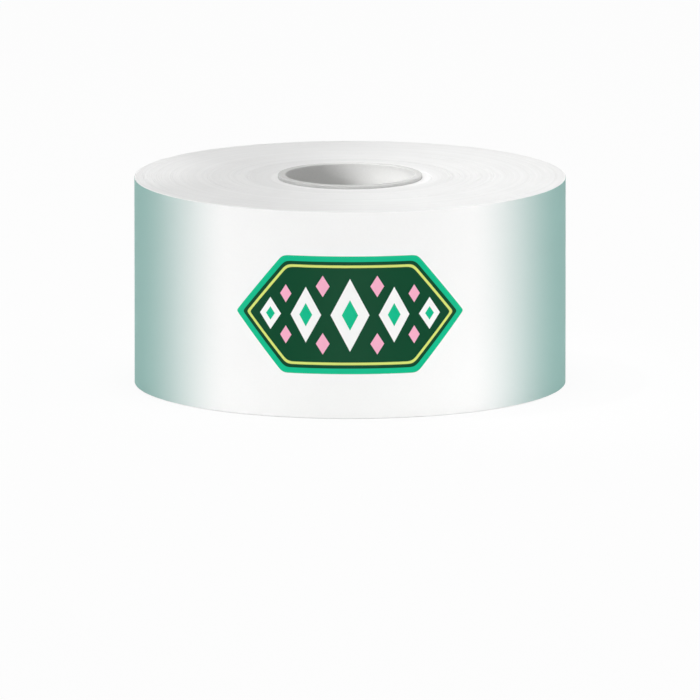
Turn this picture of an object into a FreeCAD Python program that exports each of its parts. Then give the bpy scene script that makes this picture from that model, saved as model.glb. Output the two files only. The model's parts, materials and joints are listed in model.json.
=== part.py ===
import FreeCAD, Part
import os
import Sketcher

# A wide roll of toilet paper for a public washroom, standing on one end.
# It has three pieces. A stiff board tube is the core. One long web of tissue is wound on it
# into a short, wide drum. A sheet of printed paper goes once round the drum, and its end is
# glued down over its start.
# Millimetres. The roll's axis is +Z, the origin is the middle of the end it stands on, and the
# front is towards -Y.

SIZES = [
    ("core_bore_radius", 30.0, "the hole that goes on a dispenser's spindle, 60 mm across"),
    ("core_wall", 3.5, "thickness of the core's board"),
    ("core_proud", 0.9, "how far the core stands above the tissue's top end"),
    ("lip_break", 0.6, "bevel that breaks the outer edge of the core's cut ends"),
    ("bore_break", 0.4, "bevel that breaks the edge of the core's bore"),
    ("web_width", 97.0, "width of the tissue, and so the height of the drum"),
    ("tissue_radius", 99.7, "outside of the last turn of tissue"),
    ("rim_break", 0.4, "bevel where the drum's side meets its ends"),
    ("dish_width", 12.0, "ring of tight turns that slopes down from the drum's flat end"),
    ("dish_depth", 0.9, "how far it sinks"),
    ("collar_width", 3.0, "ring next to the core, where the first turns climb to it"),
    ("collar_rise", 0.15, "how far they climb"),
    ("turn_count", 5, "turns of the spiral line that shows how the web is wound"),
    ("first_turn_gap", 1.0, "from the dish to the start of the spiral line"),
    ("last_turn_gap", 3.0, "from the end of the spiral line to the rim"),
    ("turn_line_width", 0.7, "width of the spiral line, where a turn lies a little lower"),
    ("turn_line_depth", 0.45, "depth of the spiral line"),
    ("wrapper_slack", 0.1, "room between the drum and the sheet, which is glued only at its lap"),
    ("wrapper_thickness", 0.2, "thickness of the printed sheet"),
    ("wrapper_margin", 0.5, "how far the sheet's cut edges stay from the drum's ends"),
    ("lap_length", 12.0, "overlap of the sheet's end on its start"),
    ("lap_run", 1.5, "where the sheet climbs over its own start"),
    ("lap_bearing", 115.0, "where the lap's free edge is, in degrees from +X towards +Y"),
]

# Radii that several features share, as formulas in the sheet's names.
CORE_OUTSIDE = "(sizes.core_bore_radius + sizes.core_wall)"
COLLAR_OUTSIDE = f"({CORE_OUTSIDE} + sizes.collar_width)"
DISH_RIM = f"({COLLAR_OUTSIDE} + sizes.dish_width)"
FIRST_TURN = f"({DISH_RIM} + sizes.first_turn_gap)"
LAST_TURN = "(sizes.tissue_radius - sizes.last_turn_gap)"
TURN_PITCH = f"(({LAST_TURN} - {FIRST_TURN}) / round(sizes.turn_count))"
SHEET_INSIDE = "(sizes.tissue_radius + sizes.wrapper_slack)"
SHEET_OUTSIDE = f"({SHEET_INSIDE} + sizes.wrapper_thickness)"

FULL_TURN = 360.0
HALF_TURN = 180.0
NEAR = 1e-4

doc = FreeCAD.newDocument("toilet_paper_roll")


def fill_sheet():
    """Writes the driving sizes into the document's sheet, one named cell each."""
    sheet = doc.addObject("Spreadsheet::Sheet", "sizes")
    for row, (name, size, meaning) in enumerate(SIZES, 1):
        sheet.set(f"A{row}", name)
        sheet.set(f"B{row}", str(size))
        sheet.set(f"C{row}", meaning)
        sheet.setAlias(f"B{row}", name)
    doc.recompute()
    return sheet


sheet = fill_sheet()


def value(formula):
    """What a formula of the sheet's names comes to, in millimetres."""
    return float(sheet.evalExpression(formula))


def point(x, y):
    return FreeCAD.Vector(x, y, 0)


def new_body(name):
    body = doc.addObject("PartDesign::Body", name)
    body.Label = name
    return body


def origin_plane(body, role):
    return next(f for f in body.Origin.OriginFeatures if f.Role == role)


def new_sketch(body, role, name):
    """A sketch on one of the body's own origin planes."""
    sketch = body.newObject("Sketcher::SketchObject", name)
    sketch.AttachmentSupport = [(origin_plane(body, role), "")]
    sketch.MapMode = "FlatFace"
    return sketch


def dimension(sketch, name, formula, kind, *where):
    """Adds a named dimension to a sketch and ties it to the sheet."""
    index = sketch.addConstraint(Sketcher.Constraint(kind, *where, value(formula)))
    sketch.renameConstraint(index, name)
    sketch.setExpression(f"Constraints.{name}", formula)


def circle(sketch, name, radius):
    """A circle round the sketch's origin."""
    shape = Part.Circle(point(0, 0), FreeCAD.Vector(0, 0, 1), value(radius))
    index = sketch.addGeometry(shape)
    sketch.addConstraint(Sketcher.Constraint("Coincident", index, 3, -1, 1))
    dimension(sketch, name, radius, "Radius", index)


def closed_outline(sketch, corners):
    """Straight lines from corner to corner. A corner is its name and the formulas of its x and y."""
    places = [point(value(x), value(y)) for _, x, y in corners]
    lines = [
        sketch.addGeometry(Part.LineSegment(start, end))
        for start, end in zip(places, places[1:] + places[:1])
    ]
    for line, after in zip(lines, lines[1:] + lines[:1]):
        sketch.addConstraint(Sketcher.Constraint("Coincident", line, 2, after, 1))
    for line, (name, x, y) in zip(lines, corners):
        dimension(sketch, name + "_x", x, "DistanceX", -1, 1, line, 1)
        if y == "0":
            sketch.addConstraint(Sketcher.Constraint("PointOnObject", line, 1, -1))
        else:
            dimension(sketch, name + "_y", y, "DistanceY", -1, 1, line, 1)


def bevel(body, name, feature, width, edge_radius):
    """Bevels the feature's circular edges of one radius, which are at its two ends."""
    wanted = value(edge_radius)
    edges = [
        f"Edge{number}"
        for number, edge in enumerate(feature.Shape.Edges, 1)
        if edge.Curve.TypeId == "Part::GeomCircle" and abs(edge.Curve.Radius - wanted) < NEAR
    ]
    chamfer = body.newObject("PartDesign::Chamfer", name)
    chamfer.Base = (feature, edges)
    chamfer.setExpression("Size", width)
    doc.recompute()
    return chamfer


def make_core_tube():
    """The core: a plain tube of board, with the edges of its cut ends broken."""
    body = new_body("core_tube")
    ring = new_sketch(body, "XY_Plane", "core_ring")
    circle(ring, "bore", "sizes.core_bore_radius")
    circle(ring, "outside", CORE_OUTSIDE)
    tube = body.newObject("PartDesign::Pad", "core_length")
    tube.Profile = ring
    tube.setExpression("Length", "sizes.web_width + sizes.core_proud")
    doc.recompute()
    lips = bevel(body, "outer_lips", tube, "sizes.lip_break", CORE_OUTSIDE)
    bevel(body, "bore_lips", lips, "sizes.bore_break", "sizes.core_bore_radius")


def drum_section(body):
    """Half the drum's section: both ends are flat, with a dish and a collar round the core."""
    section = new_sketch(body, "XZ_Plane", "drum_section")
    top = "sizes.web_width"
    collar = "(sizes.dish_depth - sizes.collar_rise)"
    closed_outline(
        section,
        [
            ("low_core", CORE_OUTSIDE, collar),
            ("low_collar", COLLAR_OUTSIDE, "sizes.dish_depth"),
            ("low_dish", DISH_RIM, "0"),
            ("low_rim", "sizes.tissue_radius", "0"),
            ("top_rim", "sizes.tissue_radius", top),
            ("top_dish", DISH_RIM, top),
            ("top_collar", COLLAR_OUTSIDE, f"{top} - sizes.dish_depth"),
            ("top_core", CORE_OUTSIDE, f"{top} - {collar}"),
        ],
    )
    return section


def turn_line(body, name, first, axis_side):
    """Half turns of the spiral line on the top end, all about one upright axis.

    The spiral is drawn with two centres, a quarter of its pitch either side of the roll's axis.
    The half turns on the far side swing about one of them and those on the near side about the
    other, so that they meet end to end and each turn lies one pitch outside the last.
    axis_side is -1 for the first centre and 1 for the second.
    """
    uncut = body.Shape.Volume
    section = new_sketch(body, "XZ_Plane", name + "_section")
    for turn in range(round(value("sizes.turn_count"))):
        middle = f"({FIRST_TURN} + {first + turn} * {TURN_PITCH})"
        closed_outline(
            section,
            [
                (f"inner_{turn}", f"{middle} - sizes.turn_line_width / 2", "sizes.web_width"),
                (f"floor_{turn}", middle, "sizes.web_width - sizes.turn_line_depth"),
                (f"outer_{turn}", f"{middle} + sizes.turn_line_width / 2", "sizes.web_width"),
            ],
        )
    quarter_pitch = f"{TURN_PITCH} / 4"
    aside = axis_side * value(quarter_pitch)
    height = value("sizes.web_width")
    axis = sketch_axis(section, aside, height)
    ends = (axis, 1, -1, 1) if axis_side < 0 else (-1, 1, axis, 1)
    dimension(section, "centre_aside", quarter_pitch, "DistanceX", *ends)
    line = body.newObject("PartDesign::Groove", name)
    line.Profile = section
    line.ReferenceAxis = (section, ["Axis0"])
    line.Angle = HALF_TURN
    line.Reversed = axis_side > 0
    doc.recompute()
    if line.Shape.Volume >= uncut:
        raise RuntimeError(f"{name} cuts nothing")
    return line


def sketch_axis(sketch, x, height):
    """An upright construction line that stands on the sketch's horizontal axis at x."""
    index = sketch.addGeometry(Part.LineSegment(point(x, 0), point(x, height)), True)
    sketch.addConstraint(Sketcher.Constraint("Vertical", index))
    sketch.addConstraint(Sketcher.Constraint("PointOnObject", index, 1, -1))
    dimension(sketch, "axis_height", "sizes.web_width", "DistanceY", index, 1, index, 2)
    return index


def make_paper_roll():
    """The wound tissue, as one drum, with the spiral line of its turns on both ends."""
    body = new_body("paper_roll")
    drum = body.newObject("PartDesign::Revolution", "drum")
    drum.Profile = drum_section(body)
    drum.ReferenceAxis = (drum.Profile[0], ["V_Axis"])
    drum.Angle = FULL_TURN
    doc.recompute()

    far_halves = turn_line(body, "far_half_turns", 0, -1)
    near_halves = turn_line(body, "near_half_turns", 1, 1)

    middle = body.newObject("PartDesign::Plane", "mid_height")
    middle.AttachmentSupport = [(origin_plane(body, "XY_Plane"), "")]
    middle.MapMode = "FlatFace"
    middle.setExpression("AttachmentOffset.Base.z", "sizes.web_width / 2")
    both_ends = body.newObject("PartDesign::Mirrored", "turns_on_both_ends")
    both_ends.Originals = [far_halves, near_halves]
    both_ends.MirrorPlane = (middle, [""])
    body.Tip = both_ends
    doc.recompute()
    bevel(body, "rims", both_ends, "sizes.rim_break", "sizes.tissue_radius")


def lap_section(body):
    """The strip of sheet that lies over the sheet's start, seen along the roll's axis.

    It begins at its free cut edge, on the sketch's horizontal axis, and ends in a slope where
    the sheet comes down off its own start. Its inner side is sunk half way into the sheet
    below, which it is glued to.
    """
    section = new_sketch(body, "XY_Plane", "lap_section")
    inner = f"({SHEET_INSIDE} + sizes.wrapper_thickness / 2)"
    outer = f"({SHEET_OUTSIDE} + sizes.wrapper_thickness)"
    lap_angle = value("sizes.lap_length") / value(outer)
    slope_angle = lap_angle + value("sizes.lap_run") / value(outer)
    z_axis = FreeCAD.Vector(0, 0, 1)
    outer_circle = Part.Circle(point(0, 0), z_axis, value(outer))
    inner_circle = Part.Circle(point(0, 0), z_axis, value(inner))
    outside = section.addGeometry(Part.ArcOfCircle(outer_circle, 0, lap_angle))
    inside = section.addGeometry(Part.ArcOfCircle(inner_circle, 0, slope_angle))
    cut_edge = section.addGeometry(Part.LineSegment(point(value(inner), 0), point(value(outer), 0)))
    slope = section.addGeometry(
        Part.LineSegment(outer_circle.value(lap_angle), inner_circle.value(slope_angle))
    )
    for arc in (outside, inside):
        section.addConstraint(Sketcher.Constraint("Coincident", arc, 3, -1, 1))
        section.addConstraint(Sketcher.Constraint("PointOnObject", arc, 1, -1))
    section.addConstraint(Sketcher.Constraint("Coincident", cut_edge, 1, inside, 1))
    section.addConstraint(Sketcher.Constraint("Coincident", cut_edge, 2, outside, 1))
    section.addConstraint(Sketcher.Constraint("Coincident", slope, 1, outside, 2))
    section.addConstraint(Sketcher.Constraint("Coincident", slope, 2, inside, 2))
    dimension(section, "lap_inside", inner, "Radius", inside)
    dimension(section, "lap_outside", outer, "Radius", outside)
    dimension(section, "lap_length", "sizes.lap_length", "Distance", outside, 1, outside, 2)
    dimension(section, "lap_run", "sizes.lap_run", "Distance", slope, 1, slope, 2)
    return section


def make_wrapper():
    """The printed sheet: once round the drum, with its end lapped over its start."""
    body = new_body("wrapper")
    sheet_height = "sizes.web_width - 2 * sizes.wrapper_margin"
    ring = new_sketch(body, "XY_Plane", "sheet_ring")
    circle(ring, "inside", SHEET_INSIDE)
    circle(ring, "outside", SHEET_OUTSIDE)
    once_round = body.newObject("PartDesign::Pad", "once_round")
    once_round.Profile = ring
    once_round.setExpression("Length", sheet_height)
    lap = body.newObject("PartDesign::Pad", "lap")
    lap.Profile = lap_section(body)
    lap.setExpression("Length", sheet_height)
    body.Placement = FreeCAD.Placement(
        point(0, 0), FreeCAD.Rotation(FreeCAD.Vector(0, 0, 1), value("sizes.lap_bearing"))
    )
    body.setExpression("Placement.Base.z", "sizes.wrapper_margin")
    body.setExpression("Placement.Rotation.Angle", "sizes.lap_bearing")
    doc.recompute()


def check_document():
    """Stops if any object of the document failed, or a piece isn't one sound solid."""
    for thing in doc.Objects:
        if "Invalid" in thing.State or "Error" in thing.State:
            raise RuntimeError(f"{thing.Name} failed: {thing.State}")
    for body in bodies():
        shape = body.Shape
        if shape.isNull() or not shape.isValid() or len(shape.Solids) != 1:
            raise RuntimeError(f"{body.Label} isn't one sound solid")


def bodies():
    return [thing for thing in doc.Objects if thing.TypeId == "PartDesign::Body"]


make_core_tube()
make_paper_roll()
make_wrapper()
doc.recompute()
check_document()

os.makedirs("parts", exist_ok=True)
for body in bodies():
    body.Shape.exportStep(f"parts/{body.Label}.step")
    box = body.Shape.BoundBox
    size = f"{box.XLength:.2f} x {box.YLength:.2f} x {box.ZLength:.2f} mm"
    print(f"{body.Label}: {size}, {body.Shape.Volume / 1000:.2f} cm3")
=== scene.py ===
import json
import math
import random

import bpy
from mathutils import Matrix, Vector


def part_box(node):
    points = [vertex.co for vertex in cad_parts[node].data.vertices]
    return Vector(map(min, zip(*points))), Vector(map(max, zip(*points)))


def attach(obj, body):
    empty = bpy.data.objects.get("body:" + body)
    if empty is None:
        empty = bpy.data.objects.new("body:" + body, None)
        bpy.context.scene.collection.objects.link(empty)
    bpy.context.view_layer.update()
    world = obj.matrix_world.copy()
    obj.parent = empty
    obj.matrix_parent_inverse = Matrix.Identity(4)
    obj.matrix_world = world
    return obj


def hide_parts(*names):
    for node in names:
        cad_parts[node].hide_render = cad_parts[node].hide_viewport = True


# A wide roll of toilet paper standing on one end. Metres, with the roll's axis along +Z and the
# printed emblem towards -Y. The pieces are the board core, the wound tissue and the printed
# sheet round its side. Lengths of fine detail are named in millimetres and scaled by MM.

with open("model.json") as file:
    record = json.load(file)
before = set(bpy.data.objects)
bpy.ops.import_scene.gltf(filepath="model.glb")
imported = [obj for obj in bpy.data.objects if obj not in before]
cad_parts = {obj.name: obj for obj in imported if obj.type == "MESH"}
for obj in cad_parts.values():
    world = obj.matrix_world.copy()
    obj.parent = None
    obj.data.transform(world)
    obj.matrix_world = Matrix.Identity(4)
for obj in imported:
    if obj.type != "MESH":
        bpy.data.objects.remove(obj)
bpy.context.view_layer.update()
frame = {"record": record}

MM = 0.001
FULL_TURN = 2 * math.pi
RIGHT_ANGLE = math.pi / 2


def outer_radius(node):
    """How far a CAD node reaches from the roll's axis."""
    return max(abs(c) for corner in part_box(node) for c in corner.xy)


# The drum's wall lies within the sheet's thickness, so that no gap shows between the two.
DRUM_INSET = 0.12 * MM

# Places read from the frame.
SPINDLE_BORE = next(m for m in frame["record"]["mounts"] if m["name"] == "spindle_bore")
BORE_RADIUS = SPINDLE_BORE["dims"]["r_mm"] * MM
CORE_RADIUS = outer_radius("core_tube")
CORE_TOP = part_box("core_tube")[1].z
SHEET_RADIUS = outer_radius("wrapper")
DRUM_RADIUS = SHEET_RADIUS - DRUM_INSET
DRUM_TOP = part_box("paper_roll")[1].z
SHEET_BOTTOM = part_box("wrapper")[0].z
SHEET_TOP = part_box("wrapper")[1].z
MID_HEIGHT = DRUM_TOP / 2

# The core's board.
CORE_COLUMNS = 192
LIP_ROUNDING = 0.45 * MM
LIP_STEPS = 3
LIP_ANGLE = math.radians(40)
CORE_WOBBLE = 0.06 * MM
WOBBLE_WAVES = 3
WOBBLE_START = 0.7

# The wound web. One turn of the mesh stands for about seven of the real one. Past each end of
# the web the mesh has a spare turn, which lies right on the core or on the rim.
WEB_SEED = 11
WEB_TURNS = 64
SPARE_TURNS = 2
WEB_COLUMNS = 192
THINNEST_TURN = 0.7
THICKEST_TURN = 1.3
TURN_LEAN = 0.10 * MM
EDGE_FADE = 0.8 * MM
MERGE_DISTANCE = 0.005 * MM

# The line between two turns: how far it cuts into each, as a share of a turn, and its depth,
# which is a deep one now and then.
CUT_IN = 0.2
SHALLOW_LINE = (0.02 * MM, 0.09 * MM)
DEEP_LINE = (0.14 * MM, 0.24 * MM)
DEEP_SHARE = 0.12

# The drum's ends: the collar by the core, the dish round the collar, and the rim.
COLLAR_WIDTH = 3.0 * MM
COLLAR_RISE = 0.15 * MM
DISH_WIDTH = 12.0 * MM
DISH_DEPTH = 0.9 * MM
DISH_STEP = 0.35 * MM
DISH_STEP_RUN = 1.4 * MM
RIM_ROUNDING = 0.8 * MM
RIM_FALL = 0.35 * MM

# The printed sheet.
SHEET_THICKNESS = 0.14 * MM
SHEET_COLUMNS = 420
SHEET_ROWS = 20
LAP_LENGTH = 12 * MM
LAP_RUN = 3.0 * MM
LAP_GAP = 0.03 * MM
LAP_BEARING = math.radians(115)
FRONT_BEARING = math.radians(270)
SHEET_EASE = 0.02 * MM
LONG_WAVES = 3
LONG_WAVE_START = 1.3
SHORT_WAVES = 7
SHORT_WAVE_SLANT = 4
MID_RADIUS = SHEET_RADIUS - SHEET_THICKNESS / 2 - SHEET_EASE
SHEET_LENGTH = FULL_TURN * MID_RADIUS + LAP_LENGTH


def fade(t):
    """0 below 0, 1 above 1, and a smooth rise between."""
    t = min(max(t, 0.0), 1.0)
    return t * t * (3 - 2 * t)


def deselect_all():
    bpy.ops.object.select_all(action="DESELECT")


def edit_mode(mode):
    """Goes into edit mode to pick vertices, edges or faces."""
    bpy.ops.object.mode_set(mode="EDIT")
    bpy.ops.mesh.select_mode(type=mode)


def object_mode():
    bpy.ops.object.mode_set(mode="OBJECT")


def new_piece(name):
    """Names the object that was just added, and puts its place into its mesh."""
    piece = bpy.context.object
    piece.name = name
    piece.data.name = name
    bpy.ops.object.transform_apply(location=True, rotation=True, scale=True)
    return piece


def modify(piece, kind, **settings):
    """Adds a modifier with its settings and applies it."""
    modifier = piece.modifiers.new(kind.lower(), kind)
    for name, setting in settings.items():
        setattr(modifier, name, setting)
    bpy.ops.object.modifier_apply(modifier=modifier.name)


def finish_piece(piece, node, material, angle):
    """Smooths a piece, gives it its material and puts it in its CAD node's place."""
    edit_mode("FACE")
    bpy.ops.mesh.select_all(action="SELECT")
    bpy.ops.mesh.normals_make_consistent(inside=False)
    object_mode()
    bpy.ops.object.shade_smooth_by_angle(angle=math.radians(angle))
    piece.data.materials.append(material)
    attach(piece, "root")
    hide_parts(node)


def make_core(material):
    """The board tube: its wall, its rounded lips and the slight wobble of its cut top."""
    deselect_all()
    bpy.ops.mesh.primitive_cylinder_add(
        vertices=CORE_COLUMNS,
        radius=CORE_RADIUS,
        depth=CORE_TOP,
        end_fill_type="NOTHING",
        location=(0, 0, CORE_TOP / 2),
    )
    core = new_piece("core_board")
    modify(
        core,
        "SOLIDIFY",
        thickness=CORE_RADIUS - BORE_RADIUS,
        offset=-1,
        use_even_offset=True,
    )
    modify(
        core,
        "BEVEL",
        width=LIP_ROUNDING,
        segments=LIP_STEPS,
        limit_method="ANGLE",
        angle_limit=LIP_ANGLE,
    )
    for vertex in core.data.vertices:
        if vertex.co.z > MID_HEIGHT:
            bearing = math.atan2(vertex.co.y, vertex.co.x)
            wave = math.sin(WOBBLE_WAVES * bearing + WOBBLE_START)
            vertex.co.z -= CORE_WOBBLE * (1 + wave) / 2
    finish_piece(core, "core_tube", material, angle=35)


class Web:
    """How the wound web lies: its radius and how high its edge stands, along its turns."""

    def __init__(self):
        chance = random.Random(WEB_SEED)
        steps = [chance.uniform(THINNEST_TURN, THICKEST_TURN) for _ in range(WEB_TURNS)]
        thickness = (DRUM_RADIUS - CORE_RADIUS) / sum(steps)
        self.radii = [CORE_RADIUS]
        for step in steps:
            self.radii.append(self.radii[-1] + step * thickness)
        self.leans = [chance.uniform(0, TURN_LEAN) for _ in range(WEB_TURNS + SPARE_TURNS)]
        self.lines = []
        for _ in range(WEB_TURNS + SPARE_TURNS):
            deep = chance.random() < DEEP_SHARE
            self.lines.append(chance.uniform(*(DEEP_LINE if deep else SHALLOW_LINE)))

    def along(self, table, wound):
        """A table's value at a number of turns from the web's start."""
        turn = int(wound)
        part = fade(wound - turn)
        return table[turn] * (1 - part) + table[turn + 1] * part

    def radius(self, wound):
        """How far out the web lies. Next to the core or the rim it lies right on it."""
        turn = min(int(wound), WEB_TURNS - 1)
        part = wound - turn
        radius = self.radii[turn] * (1 - part) + self.radii[turn + 1] * part
        for edge in (CORE_RADIUS, DRUM_RADIUS):
            if abs(radius - edge) < 2 * MERGE_DISTANCE:
                return edge
        return radius

    def height(self, wound, radius, in_line):
        """The web's edge here. It settles evenly where it meets the core and the rim."""
        free = fade(min(radius - CORE_RADIUS, DRUM_RADIUS - radius) / EDGE_FADE)
        drop = self.along(self.leans, wound)
        if in_line:
            drop += self.along(self.lines, wound)
        return DRUM_TOP - end_drop(radius) - free * drop


def end_drop(radius):
    """How far the drum's end lies below its top: the dish and the collar by the core."""
    past_collar = radius - (CORE_RADIUS + COLLAR_WIDTH)
    inside_dish = DISH_WIDTH - past_collar
    slope = min(max(inside_dish / DISH_WIDTH, 0.0), 1.0)
    drop = (DISH_DEPTH - DISH_STEP) * slope
    drop += DISH_STEP * fade(inside_dish / DISH_STEP_RUN)
    drop -= COLLAR_RISE * fade(-past_collar / COLLAR_WIDTH)
    past_rim = max(radius - (DRUM_RADIUS - RIM_ROUNDING), 0.0) / RIM_ROUNDING
    return drop + RIM_FALL * past_rim**2


def wind_thread():
    """A thread wound on a unit cylinder, one unit from turn to turn, with a line between turns."""
    deselect_all()
    bpy.ops.mesh.primitive_plane_add(size=1, location=(1, 0, 0))
    thread = new_piece("tissue_turns")
    edit_mode("VERT")
    bpy.ops.mesh.select_all(action="SELECT")
    bpy.ops.mesh.merge(type="CENTER")
    for rise in (CUT_IN, 1 - 2 * CUT_IN, CUT_IN):
        bpy.ops.mesh.extrude_region_move(TRANSFORM_OT_translate={"value": (0, 0, rise)})
    object_mode()
    modify(
        thread,
        "SCREW",
        axis="Z",
        angle=FULL_TURN,
        screw_offset=1,
        iterations=WEB_TURNS + SPARE_TURNS,
        steps=WEB_COLUMNS,
        render_steps=WEB_COLUMNS,
        use_merge_vertices=False,
    )
    edit_mode("VERT")
    bpy.ops.mesh.select_all(action="SELECT")
    bpy.ops.mesh.remove_doubles(threshold=CUT_IN / 100)
    object_mode()
    return thread


def lay_flat(thread, web):
    """Lays the thread out as one end of the drum, where its height becomes its radius."""
    for vertex in thread.data.vertices:
        x, y, z = vertex.co
        # The thread rises by one a turn, so a line runs where z less the turn's share is whole.
        share = math.atan2(y, x) / FULL_TURN
        beside_line = abs((z - share + 0.5) % 1 - 0.5)
        wound = min(max(z - SPARE_TURNS / 2, 0.0), float(WEB_TURNS))
        radius = web.radius(wound)
        reach = radius / math.hypot(x, y)
        height = web.height(wound, radius, beside_line < CUT_IN / 2)
        vertex.co = (x * reach, y * reach, height)


def select_ring(piece, radius):
    """Selects the edges that lie on a circle about the axis."""
    spots = piece.data.vertices
    for edge in piece.data.edges:
        ends = [math.hypot(*spots[i].co.xy) for i in edge.vertices]
        edge.select = all(abs(end - radius) < MERGE_DISTANCE for end in ends)


def make_tissue(material):
    """The drum of tissue: a spiral of turns on both ends, and its outer and inner walls."""
    tissue = wind_thread()
    lay_flat(tissue, Web())
    edit_mode("VERT")
    bpy.ops.mesh.select_all(action="SELECT")
    bpy.ops.mesh.remove_doubles(threshold=MERGE_DISTANCE)
    bpy.ops.mesh.duplicate()
    bpy.ops.transform.resize(value=(1, 1, -1), center_override=(0, 0, MID_HEIGHT))
    for wall in (DRUM_RADIUS, CORE_RADIUS):
        bpy.ops.mesh.select_mode(type="EDGE")
        bpy.ops.mesh.select_all(action="DESELECT")
        object_mode()
        select_ring(tissue, wall)
        edit_mode("EDGE")
        bpy.ops.mesh.bridge_edge_loops()
    object_mode()
    finish_piece(tissue, "paper_roll", material, angle=20)


def make_sheet(material):
    """The printed sheet: cut flat, rolled round the drum and lapped over its own start."""
    deselect_all()
    bpy.ops.mesh.primitive_grid_add(
        x_subdivisions=SHEET_COLUMNS, y_subdivisions=SHEET_ROWS, size=1, calc_uvs=True
    )
    sheet = new_piece("printed_sheet")
    for vertex in sheet.data.vertices:
        along = (vertex.co.x + 0.5) * SHEET_LENGTH
        up = vertex.co.y + 0.5
        bearing = LAP_BEARING + along / MID_RADIUS
        on_top = 1 - fade((along - LAP_LENGTH) / LAP_RUN)
        ease = math.sin(LONG_WAVES * bearing + LONG_WAVE_START)
        ease += math.sin(SHORT_WAVES * bearing + SHORT_WAVE_SLANT * up)
        radius = MID_RADIUS + on_top * (SHEET_THICKNESS + LAP_GAP) + SHEET_EASE * ease
        height = SHEET_BOTTOM + up * (SHEET_TOP - SHEET_BOTTOM)
        vertex.co = (radius * math.cos(bearing), radius * math.sin(bearing), height)
    modify(sheet, "SOLIDIFY", thickness=SHEET_THICKNESS, offset=0)
    finish_piece(sheet, "wrapper", material, angle=30)


# Materials.


def put(tree, socket, term):
    """Gives a socket a number or colour, or links another node's output to it."""
    if isinstance(term, bpy.types.NodeSocket):
        tree.links.new(term, socket)
    else:
        socket.default_value = term


def calc(tree, operation, *terms, clamp=False):
    """A Math node on numbers and other nodes' outputs."""
    node = tree.nodes.new("ShaderNodeMath")
    node.operation = operation
    node.use_clamp = clamp
    for socket, term in zip(node.inputs, terms):
        put(tree, socket, term)
    return node.outputs[0]


def layer(tree, share, under, over):
    """One colour over another, by share. A Mix node's colour sockets go by number."""
    node = tree.nodes.new("ShaderNodeMix")
    node.data_type = "RGBA"
    put(tree, node.inputs[0], share)
    put(tree, node.inputs[6], under)
    put(tree, node.inputs[7], over)
    return node.outputs[2]


def ramp(tree, term, low, high, bottom=0.0, top=1.0, smooth=False):
    """Maps low..high to bottom..top, and holds it there outside."""
    node = tree.nodes.new("ShaderNodeMapRange")
    node.interpolation_type = "SMOOTHSTEP" if smooth else "LINEAR"
    for socket, number in zip(node.inputs, (term, low, high, bottom, top)):
        put(tree, socket, number)
    return node.outputs[0]


def grain(tree, place, scale, detail=2.0, roughness=0.5):
    """Noise about 0.5, scaled per metre of place."""
    node = tree.nodes.new("ShaderNodeTexNoise")
    put(tree, node.inputs["Vector"], place)
    node.inputs["Scale"].default_value = scale
    node.inputs["Detail"].default_value = detail
    node.inputs["Roughness"].default_value = roughness
    return node.outputs["Fac"]


def vector(tree, x, y, z):
    node = tree.nodes.new("ShaderNodeCombineXYZ")
    for socket, term in zip(node.inputs, (x, y, z)):
        put(tree, socket, term)
    return node.outputs[0]


def bump(tree, height, distance, strength):
    """A bump whose height of 1 stands for a distance."""
    node = tree.nodes.new("ShaderNodeBump")
    node.inputs["Strength"].default_value = strength
    node.inputs["Distance"].default_value = distance
    put(tree, node.inputs["Height"], height)
    return node.outputs[0]


def new_material(name, roughness, specular):
    """A material with its tree and shader, at one roughness and specular level."""
    material = bpy.data.materials.new(name)
    material.use_nodes = True
    tree = material.node_tree
    shader = tree.nodes["Principled BSDF"]
    shader.inputs["Roughness"].default_value = roughness
    shader.inputs["Specular IOR Level"].default_value = specular
    return material, tree, shader


def round_place(tree):
    """Object coordinates and, from them, the radius, the bearing in turns and the height."""
    place = tree.nodes.new("ShaderNodeTexCoord").outputs["Object"]
    parts = tree.nodes.new("ShaderNodeSeparateXYZ")
    tree.links.new(place, parts.inputs[0])
    x, y, z = parts.outputs
    squares = calc(tree, "ADD", calc(tree, "MULTIPLY", x, x), calc(tree, "MULTIPLY", y, y))
    radius = calc(tree, "SQRT", squares)
    turns = calc(tree, "DIVIDE", calc(tree, "ARCTAN2", y, x), FULL_TURN)
    return place, radius, turns, z


def by_radius(tree, radius, edge, blend, inside, outside):
    """One value inside a circle and another outside it, blended over its edge."""
    return ramp(tree, radius, edge - blend, edge + blend, inside, outside)


TISSUE_WHITE = (0.92, 0.92, 0.915, 1)
TISSUE_SHADE = (0.74, 0.74, 0.735, 1)
REAL_TURN = 0.154 * MM

# The tissue's grain: noise scales per metre, and where each noise starts and ends to shade.
FINE_TURNS = 2600
BROAD_TURNS = 420
CLOUDS = 45
FLUFF = 1800
FINE_SPAN = (0.35, 0.7)
BROAD_SPAN = (0.4, 0.75)
CLOUD_SPAN = (0.35, 0.75)

# How far each grain takes the tissue to its shade, and the painted shade on the dish and at the
# rim; the share of the grain kept on the dish, and the share of all shade kept on the collar,
# which paints a highlight there.
FINE_SHADE = 0.22
BROAD_SHADE = 0.3
CLOUD_SHADE = 0.12
DISH_PAINTED_SHADE = 0.30
RIM_PAINTED_SHADE = 0.35
DISH_GRAIN_SHARE = 0.5
COLLAR_PAINTED_HIGHLIGHT_SHARE = 0.35

# Widths of the tissue's blends, to each side of an edge, and of the band of painted shade at
# its rim.
COLLAR_BLEND = 0.4 * MM
DISH_BLEND = 0.3 * MM
RIM_BLEND = 0.5 * MM
RIM_BAND = 1.0 * MM

# The tissue's relief, and how strongly its broad turns and its fluff stand in it.
TISSUE_RELIEF = 0.05 * MM
BROAD_RELIEF = 1.5
FLUFF_RELIEF = 0.6


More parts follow.
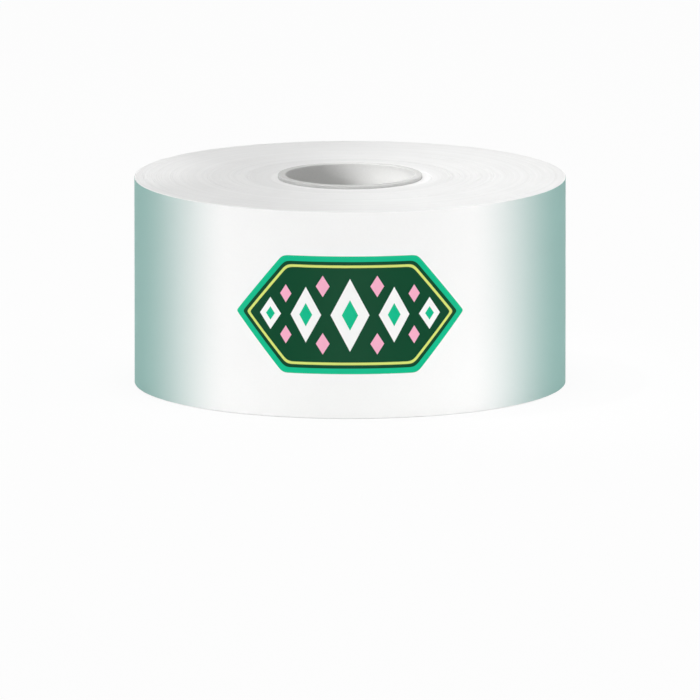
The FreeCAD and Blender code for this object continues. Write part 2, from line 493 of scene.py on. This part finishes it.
def tissue_material():
    """White tissue seen on its cut edges: fine turns, a little fluff and cloudy patches."""
    material, tree, shader = new_material("wound_tissue", roughness=0.9, specular=0.15)
    place, radius, turns, _ = round_place(tree)
    wound = calc(tree, "SUBTRACT", radius, calc(tree, "MULTIPLY", turns, REAL_TURN))
    across_turns = vector(tree, wound, 0.0, 0.0)
    fine = grain(tree, across_turns, FINE_TURNS, detail=1.0)
    broad = grain(tree, across_turns, BROAD_TURNS)
    clouds = grain(tree, place, CLOUDS)
    fluff = grain(tree, place, FLUFF, detail=3.0, roughness=0.7)
    fine_shade = ramp(tree, fine, *FINE_SPAN, 0.0, FINE_SHADE)
    broad_shade = ramp(tree, broad, *BROAD_SPAN, 0.0, BROAD_SHADE)
    cloud_shade = ramp(tree, clouds, *CLOUD_SPAN, 0.0, CLOUD_SHADE)
    shade = calc(tree, "ADD", fine_shade, broad_shade)
    shade = calc(tree, "ADD", shade, cloud_shade, clamp=True)

    collar_edge = CORE_RADIUS + COLLAR_WIDTH
    dish_edge = collar_edge + DISH_WIDTH
    rim_edge = DRUM_RADIUS - RIM_BAND
    # Painted shade: the dish round the collar is darker by a fixed amount; its grain is halved.
    painted_dish_shade = by_radius(tree, radius, dish_edge, DISH_BLEND, DISH_PAINTED_SHADE, 0.0)
    grain_share = by_radius(tree, radius, dish_edge, DISH_BLEND, DISH_GRAIN_SHARE, 1.0)
    # Painted highlight: the collar by the core keeps only a share of the shade, so it shows
    # lighter.
    collar_highlight_share = by_radius(tree, radius, collar_edge, COLLAR_BLEND, COLLAR_PAINTED_HIGHLIGHT_SHARE, 1.0)
    # Painted shade: a darker band along the drum's rim, over its rounding.
    painted_rim_shade = by_radius(tree, radius, rim_edge, RIM_BLEND, 0.0, RIM_PAINTED_SHADE)
    shade = calc(tree, "MULTIPLY_ADD", shade, grain_share, painted_dish_shade)
    shade = calc(tree, "MULTIPLY", shade, collar_highlight_share)
    shade = calc(tree, "ADD", shade, painted_rim_shade, clamp=True)
    put(tree, shader.inputs["Base Color"], layer(tree, shade, TISSUE_WHITE, TISSUE_SHADE))

    relief = calc(tree, "ADD", fine, calc(tree, "MULTIPLY", broad, BROAD_RELIEF))
    relief = calc(tree, "ADD", relief, calc(tree, "MULTIPLY", fluff, FLUFF_RELIEF))
    put(tree, shader.inputs["Normal"], bump(tree, relief, TISSUE_RELIEF, strength=0.6))
    shader.inputs["Sheen Weight"].default_value = 0.15
    shader.inputs["Sheen Roughness"].default_value = 0.6
    return material


BOARD_CUT = (0.60, 0.60, 0.59, 1)
BOARD_OUTSIDE = (0.67, 0.67, 0.66, 1)
BOARD_LINER = (0.69, 0.69, 0.68, 1)
BOARD_DARK = (0.42, 0.42, 0.41, 1)
LINER_DEPTH = 0.07 * MM
LINER_BLEND = 0.05 * MM
OUTSIDE_DEPTH = 0.175 * MM
OUTSIDE_BLEND = 0.125 * MM

# The plies on the cut rim and the liner's wound seam. A line's width is a share of a ply or of
# a turn, and its shade is how far it takes the board to its dark.
PLY = 0.7 * MM
PLY_LINE = 0.22
PLY_SHADE = 0.5
SEAM_PITCH = 62 * MM
SEAM_START = 0.67
SEAM_LINE = 0.004
SEAM_SHADE = 0.15

# The board's grain: noise scales per metre, where each noise starts and ends to shade, how far
# it takes the board to its dark, and the board's relief.
BOARD_FIBRES = 900
BOARD_FLECKS = 2400
FIBRE_SPAN = (0.3, 0.7)
FLECK_SPAN = (0.68, 0.8)
FIBRE_SHADE = 0.1
FLECK_SHADE = 0.3
BOARD_RELIEF = 0.08 * MM
FIBRE_RELIEF = 0.5


def board_material():
    """Grey board: a pale liner in the bore with its wound seam, and plies on the cut rim."""
    material, tree, shader = new_material("core_board", roughness=0.75, specular=0.3)
    place, radius, turns, height = round_place(tree)
    in_bore = by_radius(tree, radius, BORE_RADIUS + LINER_DEPTH, LINER_BLEND, 1.0, 0.0)
    outside = by_radius(tree, radius, CORE_RADIUS - OUTSIDE_DEPTH, OUTSIDE_BLEND, 0.0, 1.0)
    clean = layer(tree, in_bore, BOARD_CUT, BOARD_LINER)
    clean = layer(tree, outside, clean, BOARD_OUTSIDE)

    plies = calc(tree, "DIVIDE", calc(tree, "SUBTRACT", radius, BORE_RADIUS), PLY)
    ply_line = ramp(tree, calc(tree, "FRACT", plies), 0.0, PLY_LINE, PLY_SHADE, 0.0)
    ply_line = calc(tree, "MULTIPLY", ply_line, calc(tree, "SUBTRACT", 1.0, in_bore))
    seam = calc(tree, "MULTIPLY_ADD", height, 1 / SEAM_PITCH, SEAM_START)
    seam = calc(tree, "FRACT", calc(tree, "SUBTRACT", seam, turns))
    from_seam = calc(tree, "ABSOLUTE", calc(tree, "SUBTRACT", seam, 0.5))
    seam_line = ramp(tree, from_seam, 0.0, SEAM_LINE, SEAM_SHADE, 0.0)
    seam_line = calc(tree, "MULTIPLY", seam_line, in_bore)
    lines = calc(tree, "ADD", ply_line, seam_line)

    fibres = grain(tree, place, BOARD_FIBRES, detail=3.0, roughness=0.65)
    flecks = grain(tree, place, BOARD_FLECKS, detail=1.0)
    fibre_shade = ramp(tree, fibres, *FIBRE_SPAN, 0.0, FIBRE_SHADE)
    fleck_shade = ramp(tree, flecks, *FLECK_SPAN, 0.0, FLECK_SHADE)
    dark = calc(tree, "ADD", fibre_shade, fleck_shade)
    dark = calc(tree, "ADD", dark, lines, clamp=True)
    put(tree, shader.inputs["Base Color"], layer(tree, dark, clean, BOARD_DARK))

    relief = calc(tree, "SUBTRACT", calc(tree, "MULTIPLY", fibres, FIBRE_RELIEF), lines)
    put(tree, shader.inputs["Normal"], bump(tree, relief, BOARD_RELIEF, strength=0.6))
    return material


SHEET_WHITE = (0.93, 0.93, 0.925, 1)
SHEET_SHADE = (0.91, 0.91, 0.905, 1)
# The next grey is a painted shadow along the lap's step at the sheet's free end.
LAP_EDGE_SHADOW = (0.62, 0.62, 0.61, 1)
# The teal is painted shade, for the sides as seen from the front.
PAINTED_SIDE_SHADE = (0.275, 0.462, 0.429, 1)
EMERALD = (0.004, 0.50, 0.26, 1)
LIME = (0.66, 0.76, 0.18, 1)
DARK_GREEN = (0.002, 0.060, 0.024, 1)
PINK = (0.90, 0.43, 0.58, 1)
PAPER_ROUGHNESS = 0.58
INK_ROUGHNESS = 0.42

# The sheet's grain: noise scales per metre, where its mottle starts and ends, and its relief
# with how strongly its fibres and its cockle stand in it.
PAPER_FIBRES = 1500
PAPER_COCKLE = 60
MOTTLE_SPAN = (0.3, 0.75)
PAPER_RELIEF = 0.3 * MM
FIBRE_HEIGHT = 0.02
COCKLE_HEIGHT = 0.2

# Where the painted teal shade of the sides starts and where it would be full, as sines of the
# bearing from the front.
PAINTED_SIDE_SHADE_START = 0.55
PAINTED_SIDE_SHADE_FULL = 1.01

# The painted shadow of the lap's step along the sheet's free end: its width in millimetres on
# the flat sheet.
LAP_EDGE_SHADOW_WIDTH = 0.35

# The emblem, in millimetres on the flat sheet: its half lengths, how far its ends draw in for
# each millimetre of height, its corners' softness, how deep inside its edge each ink starts,
# and the width of an ink's own edge.
EMBLEM_HALF_LENGTH = 55.0
EMBLEM_HALF_HEIGHT = 27.5
EMBLEM_END_SLOPE = 0.85
EMBLEM_CORNER = 3.0
FIELD_EDGE = 2.6
STRIPE_EDGE = 4.2
STRIPE_INNER = 5.4
INK_EDGE = 0.12

# Lozenges, repeated left and right, above and below: distance from the middle, height, half
# width, half height. A white one has an emerald middle, at a share of its size.
WHITE_LOZENGES = [(0.0, 0.0, 9.0, 17.0), (20.5, 0.0, 7.2, 13.0), (37.5, 0.0, 5.2, 7.5)]
PINK_LOZENGES = [(12.6, 13.4, 3.2, 5.0), (30.0, 9.6, 2.7, 4.2)]
MIDDLE_SHARE = 0.42


def lozenge(tree, across, up, spot, share=1.0):
    """How far a place lies inside a lozenge, in millimetres, negative outside."""
    aside, height, half_width, half_height = spot
    half_width *= share
    half_height *= share
    from_side = calc(tree, "ABSOLUTE", calc(tree, "SUBTRACT", across, aside))
    from_height = calc(tree, "ABSOLUTE", calc(tree, "SUBTRACT", up, height))
    out = calc(
        tree,
        "ADD",
        calc(tree, "DIVIDE", from_side, half_width),
        calc(tree, "DIVIDE", from_height, half_height),
    )
    slant = half_width * half_height / math.hypot(half_width, half_height)
    return calc(tree, "MULTIPLY", calc(tree, "SUBTRACT", 1.0, out), slant)


def inked(tree, inside, depth=0.0):
    """1 where a place lies deeper inside than depth, with a crisp printed edge."""
    return ramp(tree, inside, depth - INK_EDGE / 2, depth + INK_EDGE / 2)


def print_emblem(tree, colour, paper, across, up):
    """The colour with the six-sided emblem printed on it, and 1 where its ink lies."""
    half_across = calc(tree, "ABSOLUTE", across)
    half_up = calc(tree, "ABSOLUTE", up)
    slant = math.hypot(1, EMBLEM_END_SLOPE)
    blunt = calc(tree, "SMOOTH_MAX", up, calc(tree, "MULTIPLY", up, -1.0), EMBLEM_CORNER)
    past_end = calc(tree, "MULTIPLY_ADD", blunt, EMBLEM_END_SLOPE, -EMBLEM_HALF_LENGTH)
    past_end = calc(tree, "DIVIDE", calc(tree, "ADD", half_across, past_end), slant)
    past_side = calc(tree, "SUBTRACT", half_up, EMBLEM_HALF_HEIGHT)
    outside = calc(tree, "SMOOTH_MAX", past_end, past_side, EMBLEM_CORNER)
    inside = calc(tree, "MULTIPLY", outside, -1.0)
    ink = inked(tree, inside)
    colour = layer(tree, ink, colour, EMERALD)
    colour = layer(tree, inked(tree, inside, FIELD_EDGE), colour, DARK_GREEN)
    colour = layer(tree, inked(tree, inside, STRIPE_EDGE), colour, LIME)
    colour = layer(tree, inked(tree, inside, STRIPE_INNER), colour, DARK_GREEN)
    for spot in WHITE_LOZENGES:
        colour = layer(tree, inked(tree, lozenge(tree, half_across, half_up, spot)), colour, paper)
        middle = lozenge(tree, half_across, half_up, spot, MIDDLE_SHARE)
        colour = layer(tree, inked(tree, middle), colour, EMERALD)
    for spot in PINK_LOZENGES:
        colour = layer(tree, inked(tree, lozenge(tree, half_across, half_up, spot)), colour, PINK)
    return colour, ink


def sheet_material():
    """White printed paper: painted shade in teal on the sides, which fades to white, and the
    emblem on the front.
    """
    material, tree, shader = new_material("printed_paper", PAPER_ROUGHNESS, specular=0.08)
    flat = tree.nodes.new("ShaderNodeSeparateXYZ")
    tree.links.new(tree.nodes.new("ShaderNodeTexCoord").outputs["UV"], flat.inputs[0])
    to_front = (FRONT_BEARING - LAP_BEARING) * MID_RADIUS
    length_mm = SHEET_LENGTH / MM
    height_mm = (SHEET_TOP - SHEET_BOTTOM) / MM
    from_end = calc(tree, "MULTIPLY", flat.outputs[0], length_mm)
    across = calc(tree, "MULTIPLY_ADD", flat.outputs[0], length_mm, -to_front / MM)
    up = calc(tree, "MULTIPLY_ADD", flat.outputs[1], height_mm, -height_mm / 2)

    place = tree.nodes.new("ShaderNodeTexCoord").outputs["Object"]
    fibres = grain(tree, place, PAPER_FIBRES, detail=3.0, roughness=0.6)
    cockle = grain(tree, place, PAPER_COCKLE, detail=1.0)
    paper = layer(tree, ramp(tree, fibres, *MOTTLE_SPAN), SHEET_WHITE, SHEET_SHADE)
    # Painted shadow: a grey line along the free end, where the lap steps over the sheet.
    on_lap_edge_shadow = ramp(tree, from_end, 0.0, LAP_EDGE_SHADOW_WIDTH, 1.0, 0.0)
    paper = layer(tree, on_lap_edge_shadow, paper, LAP_EDGE_SHADOW)

    bearing = calc(tree, "DIVIDE", across, MID_RADIUS / MM)
    aside = calc(tree, "ABSOLUTE", calc(tree, "SINE", bearing))
    # Painted shade in teal: the sheet goes teal towards the sides seen from the front, white at
    # front and back.
    side_shade = ramp(tree, aside, PAINTED_SIDE_SHADE_START, PAINTED_SIDE_SHADE_FULL, smooth=True)
    colour = layer(tree, side_shade, paper, PAINTED_SIDE_SHADE)
    colour, ink = print_emblem(tree, colour, paper, across, up)
    roughness = ramp(tree, ink, 0.0, 1.0, PAPER_ROUGHNESS, INK_ROUGHNESS)
    put(tree, shader.inputs["Base Color"], colour)
    put(tree, shader.inputs["Roughness"], roughness)

    relief = calc(tree, "MULTIPLY", cockle, COCKLE_HEIGHT)
    relief = calc(tree, "MULTIPLY_ADD", fibres, FIBRE_HEIGHT, relief)
    put(tree, shader.inputs["Normal"], bump(tree, relief, PAPER_RELIEF, strength=0.5))
    return material


# The studio. From the photograph come the picture's width in pixels, the roll's scale in it, and
# the pixel row of the roll's middle.

PICTURE = 700
PIXELS_PER_MM = 2.155
ROLL_MIDDLE_Y = 279.0
CAMERA_ELEVATION = math.radians(9.8)
LENS = 1500
SENSOR = 36
FARTHEST_SEEN = 100
WORLD_LEVEL = 0.42
FLOOR_SIZE = 14
FLOOR_WHITE = (0.9, 0.9, 0.9, 1)
FLOOR_GLOW = 0.93

# The long softboxes round the side: the bearing and level of each, and what they share.
SIDE_LIGHTS = {
    "front_light": (-90, 0.235),
    "left_light": (-165, 0.30),
    "right_light": (-15, 0.29),
    "back_light": (90, 0.34),
}
SIDE_ELEVATION = 0.5
SIDE_DISTANCE = 3.0
SIDE_WIDTH = 1.6
SIDE_HEIGHT = 0.12
SPOT_DISTANCE = 1.2


def make_camera():
    """A long lens at the photograph's angle. The roll's middle is above the picture's."""
    picture_width = PICTURE / PIXELS_PER_MM * MM
    distance = picture_width * LENS / SENSOR
    above_middle = (PICTURE / 2 - ROLL_MIDDLE_Y) / PIXELS_PER_MM * MM
    aim = MID_HEIGHT - above_middle / math.cos(CAMERA_ELEVATION)
    deselect_all()
    bpy.ops.object.camera_add(
        location=(
            0,
            -distance * math.cos(CAMERA_ELEVATION),
            aim + distance * math.sin(CAMERA_ELEVATION),
        ),
        rotation=(RIGHT_ANGLE - CAMERA_ELEVATION, 0, 0),
    )
    camera = bpy.context.object
    camera.name = "camera"
    camera.data.lens = LENS
    camera.data.sensor_width = SENSOR
    camera.data.clip_end = FARTHEST_SEEN
    bpy.context.scene.camera = camera


def add_lamp(kind, name, bearing, elevation, distance, aim):
    """A lamp that points at a place from a bearing and an elevation, in degrees."""
    turn = math.radians(bearing)
    lift = math.radians(elevation)
    deselect_all()
    bpy.ops.object.light_add(
        type=kind,
        location=(
            aim[0] + distance * math.cos(lift) * math.cos(turn),
            aim[1] + distance * math.cos(lift) * math.sin(turn),
            aim[2] + distance * math.sin(lift),
        ),
        rotation=(RIGHT_ANGLE - lift, 0, turn + RIGHT_ANGLE),
    )
    lamp = bpy.context.object
    lamp.name = name
    return lamp.data


def softbox(name, bearing, elevation, distance, width, height, level):
    """An area lamp. A surface that faces it gets level times full white."""
    lamp = add_lamp("AREA", name, bearing, elevation, distance, (0, 0, MID_HEIGHT))
    lamp.shape = "RECTANGLE"
    lamp.size = width
    lamp.size_y = height
    lamp.energy = level * math.pi**2 * distance**2


def soft_spot(name, bearing, elevation, aim, reach, breadth, level):
    """A spot lamp that fades from level at its aim to nothing at its reach above and below.

    Its breadth is how many times further it reaches to the sides.
    """
    lamp = add_lamp("SPOT", name, bearing, elevation, SPOT_DISTANCE, aim)
    bpy.context.object.scale = (breadth, 1, 1)
    lamp.spot_size = 2 * math.atan(reach / SPOT_DISTANCE)
    lamp.spot_blend = 1
    lamp.shadow_soft_size = reach / 4
    lamp.energy = level * 4 * math.pi**2 * SPOT_DISTANCE**2


def make_lights():
    """Softboxes round the side and above, and three soft spots on the bore and the top."""
    for name, (bearing, level) in SIDE_LIGHTS.items():
        softbox(name, bearing, SIDE_ELEVATION, SIDE_DISTANCE, SIDE_WIDTH, SIDE_HEIGHT, level)
    softbox(
        "top_light",
        bearing=-90,
        elevation=88,
        distance=2.5,
        width=0.8,
        height=0.8,
        level=0.425,
    )
    soft_spot(
        "bore_spot",
        bearing=-148,
        elevation=28,
        aim=(0.009, 0.009, CORE_TOP),
        reach=0.012,
        breadth=3.4,
        level=0.94,
    )
    soft_spot(
        "right_spot",
        bearing=-175,
        elevation=70,
        aim=(0.058, -0.028, DRUM_TOP),
        reach=0.094,
        breadth=2.1,
        level=0.23,
    )
    soft_spot(
        "left_spot",
        bearing=-25,
        elevation=35,
        aim=(-0.104, 0.006, DRUM_TOP),
        reach=0.023,
        breadth=3.0,
        level=0.20,
    )


def seen_rays(tree):
    """1 for camera, glossy and transmission rays."""
    path = tree.nodes.new("ShaderNodeLightPath")
    seen = calc(tree, "MAXIMUM", path.outputs["Is Camera Ray"], path.outputs["Is Glossy Ray"])
    return calc(tree, "MAXIMUM", seen, path.outputs["Is Transmission Ray"])


def make_world():
    """An even dome of soft light that looks white."""
    world = bpy.data.worlds.new("studio")
    world.use_nodes = True
    tree = world.node_tree
    background = tree.nodes["Background"]
    background.inputs["Color"].default_value = (1, 1, 1, 1)
    level = ramp(tree, seen_rays(tree), 0.0, 1.0, WORLD_LEVEL, 1.0)
    tree.links.new(level, background.inputs["Strength"])
    bpy.context.scene.world = world


def make_floor():
    """A plain pale floor, which keeps the roll's soft shadow."""
    deselect_all()
    bpy.ops.mesh.primitive_plane_add(size=FLOOR_SIZE)
    floor = new_piece("floor")
    material, tree, shader = new_material("studio_floor", roughness=0.9, specular=0.0)
    shader.inputs["Base Color"].default_value = FLOOR_WHITE
    glow = tree.nodes.new("ShaderNodeEmission")
    mix = tree.nodes.new("ShaderNodeMixShader")
    put(tree, mix.inputs[0], calc(tree, "MULTIPLY", seen_rays(tree), FLOOR_GLOW))
    tree.links.new(shader.outputs[0], mix.inputs[1])
    tree.links.new(glow.outputs[0], mix.inputs[2])
    tree.links.new(mix.outputs[0], tree.nodes["Material Output"].inputs["Surface"])
    floor.data.materials.append(material)


make_camera()
make_world()
make_floor()
make_lights()
make_core(board_material())
make_tissue(tissue_material())
make_sheet(sheet_material())

bpy.context.scene.view_settings.view_transform = "Standard"
